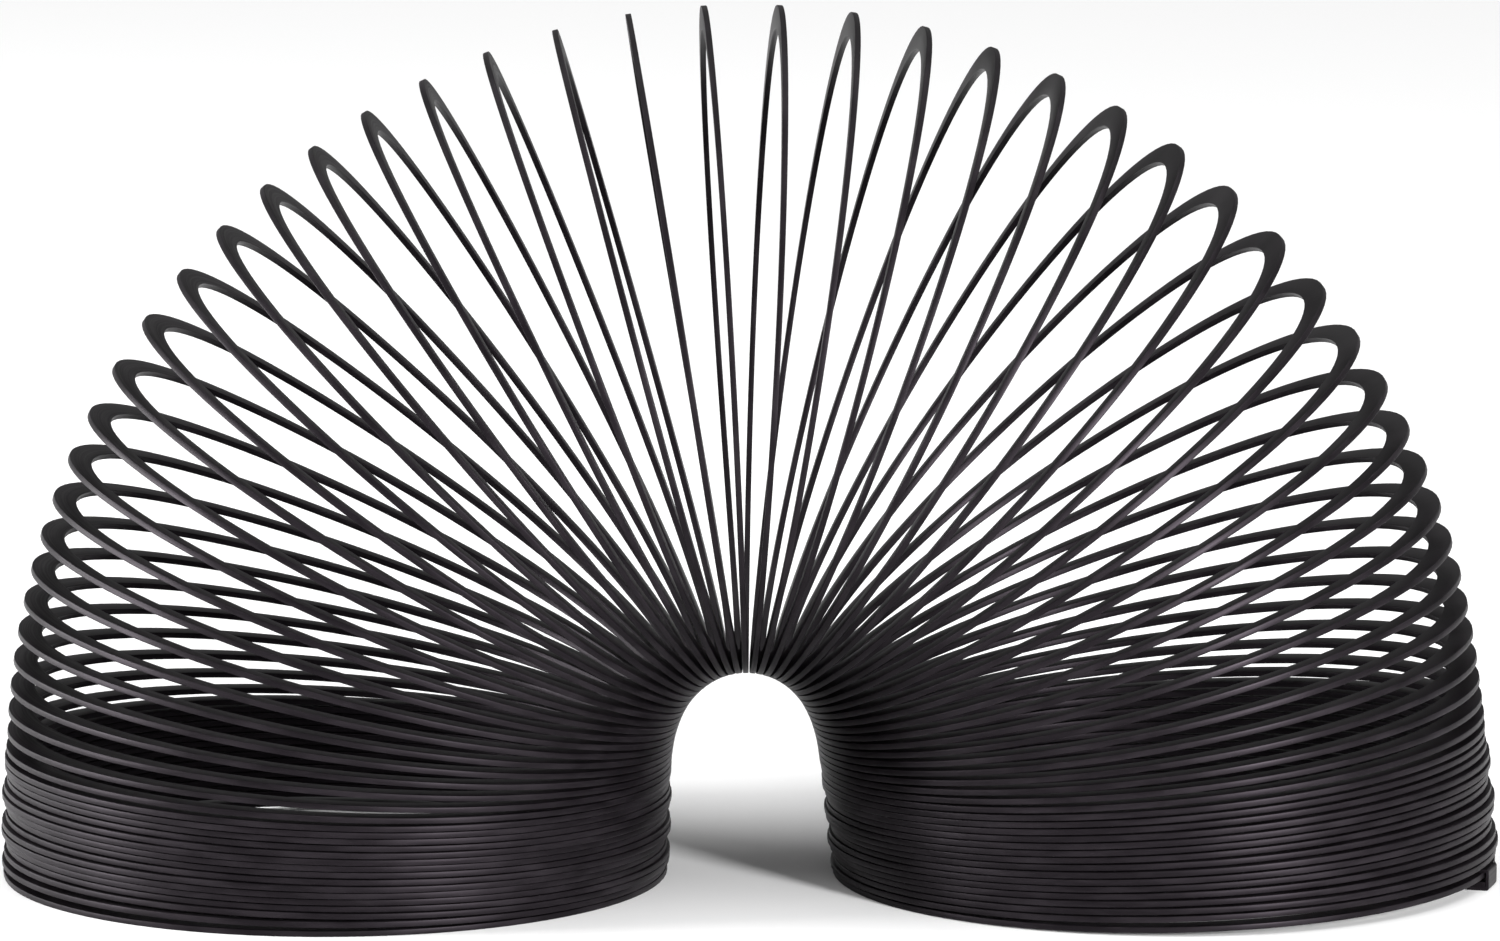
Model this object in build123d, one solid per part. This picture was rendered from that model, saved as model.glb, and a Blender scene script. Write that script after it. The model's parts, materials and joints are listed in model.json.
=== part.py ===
from build123d import *
import os
from math import cos, exp, pi, radians, sin

# A steel spring coil toy standing as an arch on both of its ends. The wire is one long
# flat strip, wound on edge-to-edge turns. Along the wire, s counts turns: whole values of s
# lie on the inside of the arch, where the turns touch, and half values on the outside.
# Millimetres, +Z up. The origin is on the ground, midway between the two feet.

# --- driving dimensions -------------------------------------------------------------
COIL_DIAMETER = 70.0
WIRE_WIDTH = 2.5          # radial width of the flat strip
WIRE_THICKNESS = 0.57
TURN_PITCH = 0.65         # from one turn to the next where they touch
TURNS = 80                # the wire's two ends stand inside the first and last of these
FOOT_TURNS = 17           # turns that stay stacked in each foot
JOINT_GAP = 0.16          # clear length of wire left out where one turn meets the next

# --- how the bend is shared between the turns -----------------------------------------
FAN_SPREAD_LEFT = 13.66   # turns, one standard deviation of the bell curve of the fan
FAN_SPREAD_RIGHT = 11.03
STACK_LEFT = 15.1         # turns from the wire's end up to which the foot is a tight stack
STACK_RIGHT = 14.73
ONSET_LEFT = 3.05         # turns above the stack over which the fan begins to open
ONSET_RIGHT = 4.53
STACK_BEND_LEFT = 0.094   # degrees from one stacked turn to the next
STACK_BEND_RIGHT = 0.227
SLOW_SWAY = (0.338, 22.45, -1.664)    # degrees, turns for one wave, phase in radians
QUICK_SWAY = (0.366, 9.904, 0.607)
SWAY_REACH = 18.0         # turns each side of the middle that the two sways cover
LEAN_STEPS = ((1.05, 1.45, 0.78), (2.0, 2.4, 0.24))  # from s, to s, degrees

# --- the loosely stacked turns of the feet --------------------------------------------
SHUFFLE = 0.28            # how far turns in the feet sit off their common axis
SHUFFLE_TURNS = 4.7       # turns in one shuffle wave
SHUFFLE_REACH = 20.0      # turns from each end over which it dies away
SLIDE_LEFT = 0.083        # how far each foot's lowest turn sits out from under its stack
SLIDE_RIGHT = 0.775

# --- end clips --------------------------------------------------------------------------
CLIP_ANGLE = 19.0         # degrees from the foot's outermost point to the wire's end
CLIP_SHEET = 0.30         # thickness of the clip's sheet
CLIP_LENGTH = 4.2         # along the wire
CLIP_LIP = 2.0            # how far its two lips reach in over the wire
CLIP_PINCH = 0.01         # how far the clip bites into the wire
CLIP_BEND = 0.28          # outside radius of its two bends
RISE_START = 40.0         # degrees of turn before the wire's end where it starts to rise
RISE_END = 12.0           # and where it has risen by the thickness of the clip's sheet

# --- worked out from the above ------------------------------------------------------------
OUTER_RADIUS = COIL_DIAMETER / 2
MEAN_RADIUS = OUTER_RADIUS - WIRE_WIDTH / 2
WIRE_START = 0.5 - CLIP_ANGLE / 360
WIRE_END = TURNS - WIRE_START
FIRST_FAN_TURN = FOOT_TURNS
LAST_FAN_TURN = TURNS - FOOT_TURNS - 1
POINTS_PER_TURN = 24
STEPS_PER_TURN = 60       # steps in which the bend and the line of the arch are added up
FLAT = 1e-7


def smooth(value, low, high):
    """0 below low, 1 above high, with a soft ramp between."""
    share = min(max((value - low) / (high - low), 0.0), 1.0)
    return share * share * (3 - 2 * share)


def fan_share(s):
    """0 where the turns lie stacked in a foot, 1 where they fan out."""
    left = smooth(s, STACK_LEFT, STACK_LEFT + ONSET_LEFT)
    return left * smooth(TURNS - s, STACK_RIGHT, STACK_RIGHT + ONSET_RIGHT)


def stack_bend(s):
    """Degrees of bend per turn within the two stacks, with none in the turns lying flat."""
    if min(s, TURNS - s) < 1:
        return 0.0
    bend = STACK_BEND_LEFT if s < TURNS / 2 else STACK_BEND_RIGHT
    return bend * (1 - fan_share(s))


def fan_bend(s, crown):
    """Bend of the fan at s against that at its crown: two half bells, cut off at the stacks."""
    spread = FAN_SPREAD_LEFT if s < crown else FAN_SPREAD_RIGHT
    return exp(-(((s - crown) / spread) ** 2) / 2) * fan_share(s)


def foot_lean(s):
    """Lean in degrees that the clip gives to the turns standing on it, counted from the end."""
    return sum(angle * smooth(s, start, stop) for start, stop, angle in LEAN_STEPS)


def lean_and_sway(s):
    """Degrees that the end clips and the uneven set of the coil add to the tilt at s."""
    lean = foot_lean(s) + foot_lean(TURNS) - foot_lean(TURNS - s)
    fade = exp(-(((s - TURNS / 2) / SWAY_REACH) ** 4))
    sway = sum(size * sin(2 * pi * s / wave + phase) for size, wave, phase in (SLOW_SWAY, QUICK_SWAY))
    return lean + fade * sway


def arch_line(crown):
    """Bend so far and the x and z at which the turns touch, at every step along the wire."""
    middles = [(step + 0.5) / STEPS_PER_TURN for step in range(TURNS * STEPS_PER_TURN)]
    stacked = [stack_bend(s) / STEPS_PER_TURN for s in middles]
    fanned = [fan_bend(s, crown) / STEPS_PER_TURN for s in middles]
    at_crown = (180 - 2 * foot_lean(TURNS) - sum(stacked)) / sum(fanned)
    bend, x, z = 0.0, 0.0, WIRE_THICKNESS / 2
    line = [(bend, x, z)]
    for s, stack_step, fan_step in zip(middles, stacked, fanned):
        step_bend = stack_step + at_crown * fan_step
        angle = radians(bend + step_bend / 2 + lean_and_sway(s))
        advance = TURN_PITCH / STEPS_PER_TURN if 1 < s < TURNS - 1 else 0.0
        bend += step_bend
        x += advance * sin(angle)
        z += advance * cos(angle)
        line.append((bend, x, z))
    return line


def level_crown():
    """The crown's place along the wire for which both feet stand on the same ground."""
    low, high = TURNS / 2 - 8, TURNS / 2 + 8
    for _ in range(45):
        middle = (low + high) / 2
        if arch_line(middle)[-1][2] > WIRE_THICKNESS / 2:
            high = middle
        else:
            low = middle
    return (low + high) / 2


ARCH = arch_line(level_crown())
MIDDLE_X = (ARCH[-1][1] + SLIDE_RIGHT - SLIDE_LEFT) / 2
HALF_SPAN = (ARCH[-1][1] + SLIDE_RIGHT + SLIDE_LEFT) / 2


def on_arch(s, column):
    """One column of the arch's line, read off at s."""
    place = min(max(s, 0.0), TURNS - 1e-9) * STEPS_PER_TURN
    index = int(place)
    here, after = ARCH[index][column], ARCH[index + 1][column]
    return here + (after - here) * (place - index)


def ring_angle(s):
    """Tilt of turn s: 0 in the left foot, upright at the crown, a half turn in the right foot."""
    return radians(on_arch(s, 0) + lean_and_sway(s))


def slide(s):
    """How far turn s is pushed along x within a stack that is not quite upright."""
    left = (STACK_LEFT + ONSET_LEFT - s) / (STACK_LEFT + ONSET_LEFT - 1)
    right = (STACK_RIGHT + ONSET_RIGHT - (TURNS - s)) / (STACK_RIGHT + ONSET_RIGHT - 1)
    return SLIDE_RIGHT * min(max(right, 0.0), 1.0) - SLIDE_LEFT * min(max(left, 0.0), 1.0)


def inside_point(s):
    """Where turn s touches its neighbours, as x and z, with the arch centred on x = 0."""
    return on_arch(s, 1) + slide(s) - MIDDLE_X, on_arch(s, 2)


def end_rise(s):
    """Height by which the wire's last few centimetres lift to let the clip pass underneath."""
    turns_from_end = min(s - WIRE_START, WIRE_END - s)
    return CLIP_SHEET * (1 - smooth(turns_from_end, RISE_END / 360, RISE_START / 360))


def shuffle(s):
    """Sideways offsets of the loosely stacked turns, outwards and to the side."""
    from_end = min(s, TURNS - s)
    size = SHUFFLE * (1 - smooth(from_end, SHUFFLE_REACH / 2, SHUFFLE_REACH))
    size *= smooth(from_end, 1.0, 2.0)
    return size * sin(2 * pi * s / SHUFFLE_TURNS), size * cos(2 * pi * s / SHUFFLE_TURNS + 1)


def wire_frame(s):
    """Centre of the strip at s, its radial direction and the direction through its thickness."""
    angle = ring_angle(s)
    turn = 2 * pi * s
    x, z = inside_point(s)
    outwards = Vector(-cos(angle), 0, sin(angle))
    through = Vector(sin(angle), 0, cos(angle))
    side = Vector(0, 1, 0)
    radial = outwards * -cos(turn) + side * sin(turn)
    out_shift, side_shift = shuffle(s)
    centre = Vector(x, 0, z) + outwards * (OUTER_RADIUS + out_shift) + side * side_shift
    centre += radial * MEAN_RADIUS + Vector(0, 0, end_rise(s))
    return centre, radial, through


def strip_corners(s):
    """The four corners of the strip's section at s, in order round it."""
    centre, radial, through = wire_frame(s)
    wide, thick = radial * (WIRE_WIDTH / 2), through * (WIRE_THICKNESS / 2)
    return [centre - wide - thick, centre + wide - thick, centre + wide + thick, centre - wide + thick]


def corner_edges(start, stop):
    """The four long edges of the strip between two places on the wire."""
    count = max(4, round((stop - start) * POINTS_PER_TURN))
    places = [start + (stop - start) * i / count for i in range(count + 1)]
    rows = [strip_corners(s) for s in places]
    near = 1e-5
    after_start, before_stop = strip_corners(start + near), strip_corners(stop - near)
    edges = []
    for corner in range(4):
        points = [row[corner] for row in rows]
        slopes = [(after_start[corner] - points[0]) / near, (points[-1] - before_stop[corner]) / near]
        edges.append(Edge.make_spline(points, tangents=slopes, parameters=places, scale=False))
    return edges


def side_face(edge, neighbour):
    """Face between two long edges: a true plane where both lie on the ground."""
    if max(abs((line @ (i / 8)).Z) for line in (edge, neighbour) for i in range(9)) < FLAT:
        ends = [Edge.make_line(edge @ i, neighbour @ i) for i in (0, 1)]
        return Face(Wire([edge, ends[1], neighbour, ends[0]]))
    return Face.make_surface_from_curves(edge, neighbour)


def strip(breaks):
    """One solid length of the wire, in spans that meet at the given places."""
    faces = []
    for start, stop in zip(breaks, breaks[1:]):
        edges = corner_edges(start, stop)
        faces += [side_face(edges[i], edges[(i + 1) % 4]) for i in range(4)]
    for s in (breaks[0], breaks[-1]):
        faces.append(Face(Wire.make_polygon(strip_corners(s), close=True)))
    solid = Solid(Shell(faces))
    return solid if solid.volume > 0 else -solid


def fan_turn(number):
    """One turn of the fan, from inside point to inside point, less the gap at each end."""
    gap = JOINT_GAP / 2 / (2 * pi * MEAN_RADIUS)
    return strip([number + gap, number + 0.5, number + 1 - gap])


def left_foot():
    """The stacked turns under the arch's left end, with their end on the ground."""
    gap = JOINT_GAP / 2 / (2 * pi * MEAN_RADIUS)
    flat_start = WIRE_START + RISE_START / 360
    return strip([WIRE_START, flat_start, *range(1, FOOT_TURNS), FOOT_TURNS - gap])


def right_foot():
    """The same at the right end, where the wire runs down to the ground."""
    gap = JOINT_GAP / 2 / (2 * pi * MEAN_RADIUS)
    first = TURNS - FOOT_TURNS
    flat_end = WIRE_END - RISE_START / 360
    return strip([first + gap, *range(first + 1, TURNS), flat_end, WIRE_END])


def end_clip(s, next_turn):
    """Folded sheet clip that holds the wire's end, at s, to the turn standing over it."""
    centre, radial, _ = wire_frame(s)
    above, _, _ = wire_frame(next_turn)
    flat_radial = Vector(radial.X, radial.Y, 0).normalized()
    along = flat_radial.cross(Vector(0, 0, 1))
    plane = Plane(origin=(centre.X, centre.Y, 0), x_dir=flat_radial, z_dir=along)
    wall_in = WIRE_WIDTH / 2 - CLIP_PINCH + max(0.0, (above - centre).dot(flat_radial))
    wall_out = wall_in + CLIP_SHEET
    lip = wall_out - CLIP_SHEET - CLIP_LIP
    top_in = above.Z + WIRE_THICKNESS / 2 + 2 * CLIP_PINCH
    low_in = CLIP_SHEET + CLIP_PINCH
    top_out = top_in + CLIP_SHEET
    outline = [
        (lip, 0), (wall_out, 0), (wall_out, top_out), (lip, top_out),
        (lip, top_in), (wall_in, top_in), (wall_in, low_in), (lip, low_in),
    ]
    section = make_face(Polyline(*outline, close=True).edges())
    outer_corners = [v for v in section.vertices() if abs(v.X - wall_out) < FLAT]
    section = fillet(outer_corners, CLIP_BEND)
    return extrude(plane * section, amount=CLIP_LENGTH / 2, both=True)


def write(node, shape):
    export_step(shape, f"parts/{node}.step")


def main():
    os.makedirs("parts", exist_ok=True)
    write("left_foot_coil", left_foot())
    write("right_foot_coil", right_foot())
    half_clip = CLIP_LENGTH / 2 / (2 * pi * MEAN_RADIUS)
    write("left_end_clip", end_clip(WIRE_START + half_clip, WIRE_START + half_clip + 1))
    write("right_end_clip", end_clip(WIRE_END - half_clip, WIRE_END - half_clip - 1))
    for number in range(FIRST_FAN_TURN, LAST_FAN_TURN + 1):
        write(f"fan_turn_{number - FIRST_FAN_TURN + 1:02d}", fan_turn(number))


main()
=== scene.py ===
import json
from math import cos, pi, radians, sin

import bpy
import numpy as np
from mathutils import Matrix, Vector

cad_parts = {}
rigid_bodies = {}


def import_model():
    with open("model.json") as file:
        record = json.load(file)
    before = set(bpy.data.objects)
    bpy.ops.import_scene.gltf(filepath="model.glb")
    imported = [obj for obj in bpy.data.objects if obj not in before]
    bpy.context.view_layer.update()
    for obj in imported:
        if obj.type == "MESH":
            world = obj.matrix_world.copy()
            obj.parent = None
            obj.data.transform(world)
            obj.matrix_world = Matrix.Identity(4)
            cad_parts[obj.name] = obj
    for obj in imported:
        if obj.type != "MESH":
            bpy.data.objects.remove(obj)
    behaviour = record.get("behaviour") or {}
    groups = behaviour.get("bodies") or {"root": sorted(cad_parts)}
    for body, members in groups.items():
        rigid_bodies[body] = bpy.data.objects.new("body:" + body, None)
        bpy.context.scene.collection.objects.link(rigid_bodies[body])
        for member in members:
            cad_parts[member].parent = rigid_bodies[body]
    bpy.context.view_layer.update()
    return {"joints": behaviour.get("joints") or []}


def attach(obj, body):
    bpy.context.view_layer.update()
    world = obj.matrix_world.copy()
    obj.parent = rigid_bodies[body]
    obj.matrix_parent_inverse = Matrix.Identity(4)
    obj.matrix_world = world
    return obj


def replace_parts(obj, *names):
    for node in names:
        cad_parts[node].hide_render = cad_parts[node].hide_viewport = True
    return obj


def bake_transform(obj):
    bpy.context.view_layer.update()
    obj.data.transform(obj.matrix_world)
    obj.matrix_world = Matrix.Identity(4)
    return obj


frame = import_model()

# The coil is one flat strip of coated steel, wound on edge. Along the wire, s counts turns:
# whole values of s lie on the inside of the arch, half values on the outside. Metres, +Z up.

# --- the wire and the coil ----------------------------------------------------------------
COIL_RADIUS = 0.035
WIRE_WIDTH = 0.0025
WIRE_THICKNESS = 0.00057
COATING = 0.000015        # thickness of the black coating on the strip
CORNER_RADIUS = 0.00006   # the rolled strip's rounded edges
TURN_PITCH = 0.00065
TURNS = 80
FOOT_TURNS = 17
MEAN_RADIUS = COIL_RADIUS - WIRE_WIDTH / 2
TURN_LENGTH = 2 * pi * MEAN_RADIUS

# --- how the bend is shared between the turns, as in the CAD model ------------------------
FAN_SPREAD_LEFT = 13.66   # turns, one standard deviation of the fan's bell curve
FAN_SPREAD_RIGHT = 11.03
STACK_LEFT = 15.1         # turns from the wire's end up to which the foot is a tight stack
STACK_RIGHT = 14.73
ONSET_LEFT = 3.05         # turns above the stack over which the fan begins to open
ONSET_RIGHT = 4.53
STACK_BEND_LEFT = 0.094   # degrees from one stacked turn to the next
STACK_BEND_RIGHT = 0.227
SLOW_SWAY = (0.338, 22.45, -1.664)    # degrees, turns for one wave, phase in radians
QUICK_SWAY = (0.366, 9.904, 0.607)
SWAY_REACH = 18.0         # turns on each side of the coil's middle
LEAN_STEPS = ((1.05, 1.45, 0.78), (2.0, 2.4, 0.24))   # between two turns, by so many degrees
FULL_LEAN = sum(angle for _, _, angle in LEAN_STEPS)
SLIDE_LEFT = 0.000083     # how far the bottom of each stack stands out past its top
SLIDE_RIGHT = 0.000775
CROWN_SEARCH = 8          # turns on each side of the middle in which the crown is looked for
HALVINGS = 45

# --- unevenness of the stacked turns ------------------------------------------------------
SHUFFLE = 0.00028         # how far the turns are pushed about sideways
SHUFFLE_TURNS = 4.7       # turns for one wave
SHUFFLE_PHASE = 1.0
SHUFFLE_START = (1.0, 2.0)            # turns from the wire's end between which it sets in
SHUFFLE_FADE = (10.0, 20.0)
RIPPLE = 0.000018         # how unevenly the turns press together
RIPPLE_TURNS = 4.6
RIPPLE_START = (1.5, 3.0)
RIPPLE_FADE = (13.0, 16.0)

# --- end clips ----------------------------------------------------------------------------
CLIP_ANGLE = 19.0         # degrees from the foot's outermost point to the wire's end
CLIP_SHEET = 0.0003
CLIP_LENGTH = 0.0042
CLIP_LIP = 0.002
CLIP_PINCH = 0.00001
CLIP_BEND = 0.00028       # outside radius of its two bends
CLIP_RISE = (12.0, 40.0)  # degrees from the wire's end: on the sheet to the first, flat past the second
CLIP_WEAR = 0.35          # how rubbed it is all over, where the wire's corners are near 1
WIRE_START = 0.5 - CLIP_ANGLE / 360
WIRE_END = TURNS - WIRE_START

# --- mesh ---------------------------------------------------------------------------------
ROWS_PER_TURN = 96
FEWEST_ROWS = 4
CORNER_STEPS = 3
CLIP_BEND_STEPS = 6
CLIP_ROWS = 9
STEPS_PER_TURN = 60       # steps in which the bend and the line of the arch are added up
QUARTER = 0.25            # of a turn, from a hinge to the end of the strand that blends across it

# --- coating: features to the metre are given along and across the wire -------------------
SPECULAR_LEVEL = 0.105
SPECULAR_TINT = (1.0, 0.86, 1.0, 1.0)
CLOUDS = (35.0, 300.0)
SCUFFS = (160.0, 700.0)
ROLLING_MARKS = (25.0, 4200.0)
GRAIN = (2600.0, 2600.0)
MARKS_TO_GRAIN = 1.6      # height of the rolling marks against that of the grain
BUMP_STRENGTH = 0.18
BUMP_DEPTH = 0.00002
EDGE_FADE = 0.6           # how much less than a corner's middle its two ends are rubbed

# --- floor, light and camera --------------------------------------------------------------
FLOOR_RADIUS = 3.0
FLOOR_CORNERS = 64
FLOOR_COLOUR = (0.92, 0.92, 0.92)
FLOOR_ROUGHNESS = 0.9
WORLD_STRENGTH = 0.24
LIGHT_TARGET = (0, 0, 0.04)
CAMERA_TARGET = (0.00001, 0.0, 0.042654)
CAMERA_ELEVATION = 9.2
CAMERA_DISTANCE = 1.0822
VIEW_WIDTH = 0.15736      # width of the picture at the target
SENSOR_WIDTH = 36.0


# --- the line of the arch -----------------------------------------------------------------
def smooth(value, low, high):
    """0 below low, 1 above high, with a soft ramp between."""
    share = np.clip((value - low) / (high - low), 0.0, 1.0)
    return share * share * (3 - 2 * share)


def fan_share(s):
    """0 where the turns lie stacked in a foot, 1 where they fan out."""
    left = smooth(s, STACK_LEFT, STACK_LEFT + ONSET_LEFT)
    return left * smooth(TURNS - s, STACK_RIGHT, STACK_RIGHT + ONSET_RIGHT)


def stack_bend(s):
    """Degrees of bend per turn within the two stacks, with none in the turns lying flat."""
    bend = np.where(s < TURNS / 2, STACK_BEND_LEFT, STACK_BEND_RIGHT) * (1 - fan_share(s))
    return np.where(np.minimum(s, TURNS - s) < 1, 0.0, bend)


def fan_bend(s, crown):
    """Bend of the fan at s against that at its crown: two half bells, cut off at the stacks."""
    spread = np.where(s < crown, FAN_SPREAD_LEFT, FAN_SPREAD_RIGHT)
    return np.exp(-(((s - crown) / spread) ** 2) / 2) * fan_share(s)


def foot_lean(s):
    """Lean in degrees that the clip gives to the turns standing on it."""
    return sum(angle * smooth(s, start, stop) for start, stop, angle in LEAN_STEPS)


def lean_and_sway(s):
    """Degrees that the end clips and the uneven set of the coil add to the tilt at s."""
    lean = foot_lean(s) + FULL_LEAN - foot_lean(TURNS - s)
    fade = np.exp(-(((s - TURNS / 2) / SWAY_REACH) ** 4))
    waves = (SLOW_SWAY, QUICK_SWAY)
    sway = sum(size * np.sin(2 * pi * s / turns + phase) for size, turns, phase in waves)
    return lean + fade * sway


def arch_line(crown):
    """Bend so far and the x and z at which the turns touch, at every step along the wire."""
    s = (np.arange(TURNS * STEPS_PER_TURN) + 0.5) / STEPS_PER_TURN
    stacked, fanned = stack_bend(s) / STEPS_PER_TURN, fan_bend(s, crown) / STEPS_PER_TURN
    at_crown = (180 - 2 * FULL_LEAN - stacked.sum()) / fanned.sum()
    steps = stacked + at_crown * fanned
    bend = np.concatenate([[0.0], np.cumsum(steps)])
    angle = np.radians(bend[:-1] + steps / 2 + lean_and_sway(s))
    advance = np.where((s > 1) & (s < TURNS - 1), TURN_PITCH / STEPS_PER_TURN, 0.0)
    x = np.concatenate([[0.0], np.cumsum(advance * np.sin(angle))])
    z = np.concatenate([[0.0], np.cumsum(advance * np.cos(angle))])
    return bend, x - (x[-1] + SLIDE_RIGHT - SLIDE_LEFT) / 2, z + WIRE_THICKNESS / 2


def level_crown():
    """The crown's place along the wire for which both feet stand on the same ground."""
    low, high = TURNS / 2 - CROWN_SEARCH, TURNS / 2 + CROWN_SEARCH
    for _ in range(HALVINGS):
        middle = (low + high) / 2
        if arch_line(middle)[2][-1] > WIRE_THICKNESS / 2:
            high = middle
        else:
            low = middle
    return (low + high) / 2


BEND, INSIDE_X, INSIDE_Z = arch_line(level_crown())


# --- the wire round that line -------------------------------------------------------------
def slide(s):
    """How far turn s is pushed along x within a stack that is not quite upright."""
    left = (STACK_LEFT + ONSET_LEFT - s) / (STACK_LEFT + ONSET_LEFT - 1)
    right = (STACK_RIGHT + ONSET_RIGHT - (TURNS - s)) / (STACK_RIGHT + ONSET_RIGHT - 1)
    return SLIDE_RIGHT * np.clip(right, 0.0, 1.0) - SLIDE_LEFT * np.clip(left, 0.0, 1.0)


def shuffle(s):
    """How far turn s is pushed about within its stack: outwards and along y."""
    from_end = np.minimum(s, TURNS - s)
    size = SHUFFLE * (1 - smooth(from_end, *SHUFFLE_FADE)) * smooth(from_end, *SHUFFLE_START)
    wave = 2 * pi * s / SHUFFLE_TURNS
    return size * np.sin(wave), size * np.cos(wave + SHUFFLE_PHASE)


def ripple(s):
    """How far the strip at s stands off its even place, through its thickness."""
    from_end = np.minimum(s, TURNS - s)
    pressed = smooth(from_end, *RIPPLE_START) * (1 - smooth(from_end, *RIPPLE_FADE))
    return RIPPLE * pressed * np.sin(2 * pi * s / RIPPLE_TURNS)


def clip_rise(s):
    """How far the wire's ends are lifted by the sheet of the clips under them."""
    turns_from_end = np.minimum(s - WIRE_START, WIRE_END - s)
    lifted, flat = CLIP_RISE
    return CLIP_SHEET * (1 - smooth(turns_from_end, lifted / 360, flat / 360))


def wire_frame(s):
    """Centres of the strip at each s, its radial directions and those through its thickness."""
    s = np.atleast_1d(np.asarray(s, float))
    places = np.arange(len(BEND)) / STEPS_PER_TURN
    angle = np.radians(np.interp(s, places, BEND) + lean_and_sway(s))
    turn, zero = 2 * pi * s, np.zeros_like(s)
    inside_x = np.interp(s, places, INSIDE_X) + slide(s)
    inside = np.stack([inside_x, zero, np.interp(s, places, INSIDE_Z)], 1)
    outwards = np.stack([-np.cos(angle), zero, np.sin(angle)], 1)
    through = np.stack([np.sin(angle), zero, np.cos(angle)], 1)
    side, up = np.array([0.0, 1.0, 0.0]), np.array([0.0, 0.0, 1.0])
    radial = -outwards * np.cos(turn)[:, None] + side * np.sin(turn)[:, None]
    out_shift, side_shift = shuffle(s)
    centre = inside + outwards * (COIL_RADIUS + out_shift)[:, None] + side * side_shift[:, None]
    centre += radial * MEAN_RADIUS + up * clip_rise(s)[:, None] + through * ripple(s)[:, None]
    return centre, radial, through


# --- materials ----------------------------------------------------------------------------
def add_node(tree, kind, values=None, **settings):
    """A shader node with its settings and the values of its inputs, by name or number."""
    made = tree.nodes.new(kind)
    for name, value in settings.items():
        setattr(made, name, value)
    for name, value in (values or {}).items():
        made.inputs[name].default_value = value
    return made


def colour_ramp(tree, source, stops):
    """A ramp of grey values or colours, from two (place, value) pairs, driven by source."""
    ramp = add_node(tree, "ShaderNodeValToRGB")
    for element, (place, value) in zip(ramp.color_ramp.elements, stops):
        element.position = place
        element.color = (*value, 1) if isinstance(value, tuple) else (value, value, value, 1)
    tree.links.new(source, ramp.inputs["Fac"])
    return ramp.outputs["Color"]


def wire_noise(tree, features, detail=3.0):
    """Noise on the strip's surface, with so many features to the metre along and across it."""
    place = add_node(tree, "ShaderNodeUVMap", uv_map="wire")
    stretch = add_node(tree, "ShaderNodeMapping", {"Scale": (*features, 1.0)})
    noise = add_node(tree, "ShaderNodeTexNoise", {"Scale": 1.0, "Detail": detail})
    tree.links.new(place.outputs["UV"], stretch.inputs["Vector"])
    tree.links.new(stretch.outputs["Vector"], noise.inputs["Vector"])
    return noise.outputs["Fac"]


def coating_colour(tree, dark, light, rubbed):
    """Cloudy colour from dark to light, and the rubbed colour in patches along the edges."""
    clouds = colour_ramp(tree, wire_noise(tree, CLOUDS), ((0.3, dark), (0.75, light)))
    edge = add_node(tree, "ShaderNodeAttribute", attribute_name="edge")
    patchy = colour_ramp(tree, wire_noise(tree, SCUFFS, 5.0), ((0.42, 0.15), (0.68, 1.0)))
    worn = add_node(tree, "ShaderNodeMath", operation="MULTIPLY")
    tree.links.new(edge.outputs["Fac"], worn.inputs[0])
    tree.links.new(patchy, worn.inputs[1])
    mix = add_node(tree, "ShaderNodeMix", {"B": (*rubbed, 1)}, data_type="RGBA")
    tree.links.new(worn.outputs["Value"], mix.inputs["Factor"])
    tree.links.new(clouds, mix.inputs["A"])
    return mix.outputs["Result"]


def coating_bump(tree, marks):
    """Normals of the rolling marks along the wire with a fine grain on them."""
    height = add_node(tree, "ShaderNodeMath", {1: MARKS_TO_GRAIN}, operation="MULTIPLY_ADD")
    tree.links.new(marks, height.inputs[0])
    tree.links.new(wire_noise(tree, GRAIN, 2.0), height.inputs[2])
    depth = {"Strength": BUMP_STRENGTH, "Distance": BUMP_DEPTH}
    bump = add_node(tree, "ShaderNodeBump", depth)
    tree.links.new(height.outputs["Value"], bump.inputs["Height"])
    return bump.outputs["Normal"]


def coating(name, dark, light, rubbed, rough):
    """Black baked coating over steel: cloudy colour, rolling marks along the wire, rubbed edges."""
    material = bpy.data.materials.new(name)
    material.use_nodes = True
    tree = material.node_tree
    tree.nodes.clear()
    looks = {"Specular IOR Level": SPECULAR_LEVEL, "Specular Tint": SPECULAR_TINT}
    shader = add_node(tree, "ShaderNodeBsdfPrincipled", looks)
    output = add_node(tree, "ShaderNodeOutputMaterial")
    tree.links.new(shader.outputs["BSDF"], output.inputs["Surface"])
    tree.links.new(coating_colour(tree, dark, light, rubbed), shader.inputs["Base Color"])
    marks = wire_noise(tree, ROLLING_MARKS)
    low, high = rough
    roughness = colour_ramp(tree, marks, ((0.3, low), (0.7, high)))
    tree.links.new(roughness, shader.inputs["Roughness"])
    tree.links.new(coating_bump(tree, marks), shader.inputs["Normal"])
    return material


def plain_material(name, colour, rough):
    """One colour and one roughness all over."""
    material = bpy.data.materials.new(name)
    material.use_nodes = True
    shader = material.node_tree.nodes["Principled BSDF"]
    shader.inputs["Base Color"].default_value = (*colour, 1)
    shader.inputs["Roughness"].default_value = rough
    return material


WIRE_COATING = coating(
    "wire_coating",
    dark=(0.0016, 0.0013, 0.0016),
    light=(0.0032, 0.0025, 0.0032),
    rubbed=(0.02, 0.017, 0.02),
    rough=(0.36, 0.48),
)
CLIP_COATING = coating(
    "clip_coating",
    dark=(0.0018, 0.0014, 0.0018),
    light=(0.0036, 0.0028, 0.0036),
    rubbed=(0.022, 0.019, 0.022),
    rough=(0.36, 0.48),
)


# --- meshes -------------------------------------------------------------------------------
def arc(middle, radius, start, stop, steps):
    """Points on an arc from one angle to another, in degrees."""
    angles = [radians(start + (stop - start) * step / steps) for step in range(steps + 1)]
    return [(middle[0] + radius * cos(angle), middle[1] + radius * sin(angle)) for angle in angles]


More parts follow.
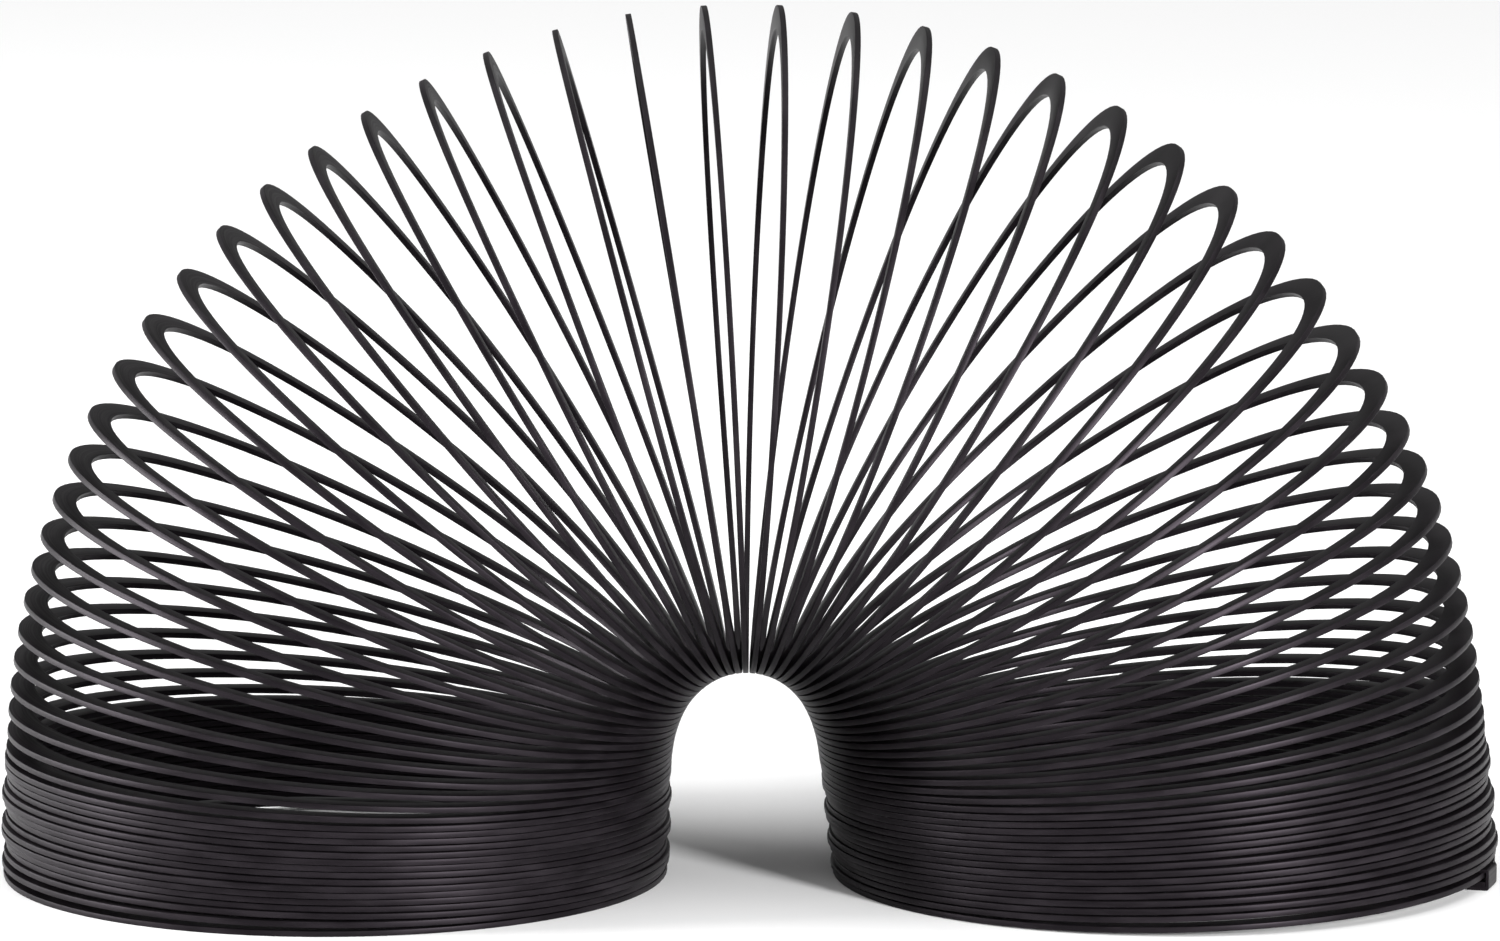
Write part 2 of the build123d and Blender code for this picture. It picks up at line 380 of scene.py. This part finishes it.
def rounded_section(width, thickness, radius, steps):
    """Outline of a flat strip with rounded corners, and how rubbed each of its points is."""
    points, edge = [], []
    for across, up, start in ((1, -1, -90), (1, 1, 0), (-1, 1, 90), (-1, -1, 180)):
        middle = (across * (width / 2 - radius), up * (thickness / 2 - radius))
        points += arc(middle, radius, start, start + 90, steps)
        edge += [1.0 - abs(2 * step / steps - 1) * EDGE_FADE for step in range(steps + 1)]
    return np.array(points), np.array(edge)


def lengths_round(outline):
    """Distance along the outline to each of its points, and on to the first one again."""
    steps = np.linalg.norm(np.diff(outline, axis=0), axis=1)
    lengths = np.concatenate([[0.0], np.cumsum(steps)])
    return [*lengths, lengths[-1] + lengths[1]]


def tube_faces(index, along, lengths):
    """Faces of a capped tube through rows of points, and a UV place for each of their corners."""
    count, size = index.shape
    faces, uvs = [], []
    for row in range(count - 1):
        for i in range(size):
            j = (i + 1) % size
            faces.append((index[row, i], index[row, j], index[row + 1, j], index[row + 1, i]))
            uvs += [(along[row], lengths[i]), (along[row], lengths[i + 1])]
            uvs += [(along[row + 1], lengths[i + 1]), (along[row + 1], lengths[i])]
    for row, order in ((0, slice(None, None, -1)), (count - 1, slice(None))):
        faces.append(tuple(index[row, order]))
        uvs += [(along[row], lengths[i]) for i in range(size)]
    return [tuple(map(int, face)) for face in faces], uvs


def cap_edges(index):
    """The edges round both end caps, each as a sorted pair of points."""
    ends = (index[0], index[-1])
    return {tuple(sorted(pair)) for end in ends for pair in zip(end, np.roll(end, -1))}


def swept_mesh(name, rows, edge, along, outline, material):
    """A closed tube through rows of points, with a wire UV map and an edge value for its wear."""
    count, size = rows.shape[0], rows.shape[1]
    index = np.arange(count * size).reshape(count, size)
    faces, uvs = tube_faces(index, along, lengths_round(outline))
    mesh = bpy.data.meshes.new(name)
    mesh.from_pydata(rows.reshape(-1, 3).tolist(), [], faces)
    mesh.uv_layers.new(name="wire").data.foreach_set("uv", np.array(uvs, np.float32).ravel())
    values = mesh.attributes.new("edge", "FLOAT", "POINT")
    values.data.foreach_set("value", np.tile(edge, count).astype(np.float32))
    mesh.shade_smooth()
    caps = cap_edges(index)
    sharp = np.array([tuple(sorted(line.vertices)) in caps for line in mesh.edges])
    mesh.attributes.new("sharp_edge", "BOOLEAN", "EDGE").data.foreach_set("value", sharp)
    mesh.materials.append(material)
    piece = bpy.data.objects.new(name, mesh)
    bpy.context.scene.collection.objects.link(piece)
    return piece


def strand(name, start, stop):
    """The strip from one place on the wire to another."""
    count = max(FEWEST_ROWS, round((stop - start) * ROWS_PER_TURN))
    s = np.linspace(start, stop, count + 1)
    centre, radial, through = wire_frame(s)
    thickness = WIRE_THICKNESS + 2 * COATING
    section, edge = rounded_section(WIRE_WIDTH, thickness, CORNER_RADIUS, CORNER_STEPS)
    across, up = section[None, :, :1], section[None, :, 1:]
    rows = centre[:, None] + radial[:, None] * across + through[:, None] * up
    return swept_mesh(name, rows, edge, s * TURN_LENGTH, section, WIRE_COATING)


# --- the coil -----------------------------------------------------------------------------
hinges = {joint["child"]: joint for joint in frame["joints"]}
chain = ["left_foot"]
while len(chain) <= len(hinges):
    chain.append(next(j["child"] for j in frame["joints"] if j["parent"] == chain[-1]))

left_foot = strand("left_foot_strand", WIRE_START, FOOT_TURNS - QUARTER)
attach(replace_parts(left_foot, "left_foot_coil"), "left_foot")
right_foot = strand("right_foot_strand", TURNS - FOOT_TURNS + QUARTER, WIRE_END)
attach(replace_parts(right_foot, "right_foot_coil"), "right_foot")

for number, body in enumerate(chain[1:], start=1):
    s = FOOT_TURNS + number - 1
    inner = strand(f"inner_strand_{number:02d}", s - QUARTER, s + QUARTER)
    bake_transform(inner)
    if body != "right_foot":
        outer = strand(f"outer_strand_{number:02d}", s + QUARTER, s + 1 - QUARTER)
        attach(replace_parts(outer, f"fan_turn_{number:02d}"), body)


# --- end clips ----------------------------------------------------------------------------
def clip_outline(wall_in, low_in, top_in):
    """The folded sheet's outline, out from the wire and up from the ground, with round bends."""
    top_out = top_in + CLIP_SHEET
    lip = wall_in - CLIP_LIP
    bend_out = wall_in + CLIP_SHEET - CLIP_BEND
    outline = [(lip, 0.0)]
    outline += arc((bend_out, CLIP_BEND), CLIP_BEND, -90, 0, CLIP_BEND_STEPS)
    outline += arc((bend_out, top_out - CLIP_BEND), CLIP_BEND, 0, 90, CLIP_BEND_STEPS)
    outline += [(lip, top_out), (lip, top_in), (wall_in, top_in), (wall_in, low_in), (lip, low_in)]
    return np.array(outline)


def end_clip(name, node, body, s, next_turn):
    """Folded sheet clip that holds the wire's end, at s, to the turn standing over it."""
    centre, radial, _ = wire_frame([s, next_turn])
    up = np.array([0.0, 0.0, 1.0])
    outwards = np.array([radial[0][0], radial[0][1], 0.0])
    outwards /= np.linalg.norm(outwards)
    overhang = max(0.0, float((centre[1] - centre[0]) @ outwards))
    wall_in = WIRE_WIDTH / 2 - CLIP_PINCH + overhang
    top_in = centre[1][2] + WIRE_THICKNESS / 2 + 2 * CLIP_PINCH
    outline = clip_outline(wall_in, CLIP_SHEET + CLIP_PINCH, top_in)
    foot = np.array([centre[0][0], centre[0][1], 0.0])
    shape = outline[:, :1] * outwards + outline[:, 1:] * up
    places = np.linspace(-CLIP_LENGTH / 2, CLIP_LENGTH / 2, CLIP_ROWS)
    rows = foot + shape[None] + places[:, None, None] * np.cross(outwards, up)
    clip = swept_mesh(name, rows, np.full(len(outline), CLIP_WEAR), places, outline, CLIP_COATING)
    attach(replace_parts(clip, node), body)


half_clip = CLIP_LENGTH / 2 / TURN_LENGTH
end_clip("left_clip", "left_end_clip", "left_foot", WIRE_START + half_clip, WIRE_START + half_clip + 1)
end_clip("right_clip", "right_end_clip", "right_foot", WIRE_END - half_clip, WIRE_END - half_clip - 1)


# --- floor, light and camera --------------------------------------------------------------
def add_floor():
    """A pale round floor, wide enough to fill the picture."""
    angles = [2 * pi * i / FLOOR_CORNERS for i in range(FLOOR_CORNERS)]
    corners = [(FLOOR_RADIUS * cos(angle), FLOOR_RADIUS * sin(angle), 0.0) for angle in angles]
    mesh = bpy.data.meshes.new("floor")
    mesh.from_pydata(corners, [], [tuple(range(FLOOR_CORNERS))])
    mesh.materials.append(plain_material("pale_floor", FLOOR_COLOUR, FLOOR_ROUGHNESS))
    floor = bpy.data.objects.new("floor", mesh)
    bpy.context.scene.collection.objects.link(floor)


def aimed(thing, place, target):
    """Puts a lamp or camera at a place, looking at the target."""
    thing.location = place
    thing.rotation_euler = (Vector(target) - Vector(place)).to_track_quat("-Z", "Y").to_euler()
    bpy.context.scene.collection.objects.link(thing)
    return thing


def softbox(name, azimuth, elevation, distance, width, height, power):
    """An area light that looks at the toy. Azimuth 0 is behind the camera, positive to the right."""
    light = bpy.data.lights.new(name, "AREA")
    light.shape = "RECTANGLE"
    light.size, light.size_y, light.energy = width, height, power
    azimuth, elevation = radians(azimuth), radians(elevation)
    flat = distance * cos(elevation)
    place = (flat * sin(azimuth), -flat * cos(azimuth), distance * sin(elevation))
    lamp = aimed(bpy.data.objects.new(name, light), place, LIGHT_TARGET)
    lamp.visible_camera = False


def add_world(strength):
    """A plain white surrounding."""
    world = bpy.data.worlds.new("studio")
    world.use_nodes = True
    background = world.node_tree.nodes["Background"]
    background.inputs["Color"].default_value = (1, 1, 1, 1)
    background.inputs["Strength"].default_value = strength
    bpy.context.scene.world = world


def add_camera():
    """The camera of the photograph, a long lens a little above the toy."""
    camera = bpy.data.cameras.new("camera")
    camera.sensor_width = SENSOR_WIDTH
    camera.lens = SENSOR_WIDTH * CAMERA_DISTANCE / VIEW_WIDTH
    tilt = radians(CAMERA_ELEVATION)
    target = Vector(CAMERA_TARGET)
    place = target + CAMERA_DISTANCE * Vector((0, -cos(tilt), sin(tilt)))
    bpy.context.scene.camera = aimed(bpy.data.objects.new("camera", camera), place, target)


add_floor()
add_world(WORLD_STRENGTH)
softbox("left_softbox", azimuth=-100, elevation=12, distance=0.7, width=0.6, height=0.25, power=5.8)
softbox("left_strip", azimuth=-80, elevation=10, distance=0.6, width=0.12, height=0.2, power=3.4)
softbox("right_strip", azimuth=36, elevation=12, distance=0.8, width=0.11, height=0.25, power=13.0)
softbox("top_softbox", azimuth=0, elevation=85, distance=3.0, width=6.0, height=6.0, power=145.0)
add_camera()
bpy.context.scene.view_settings.view_transform = "Standard"
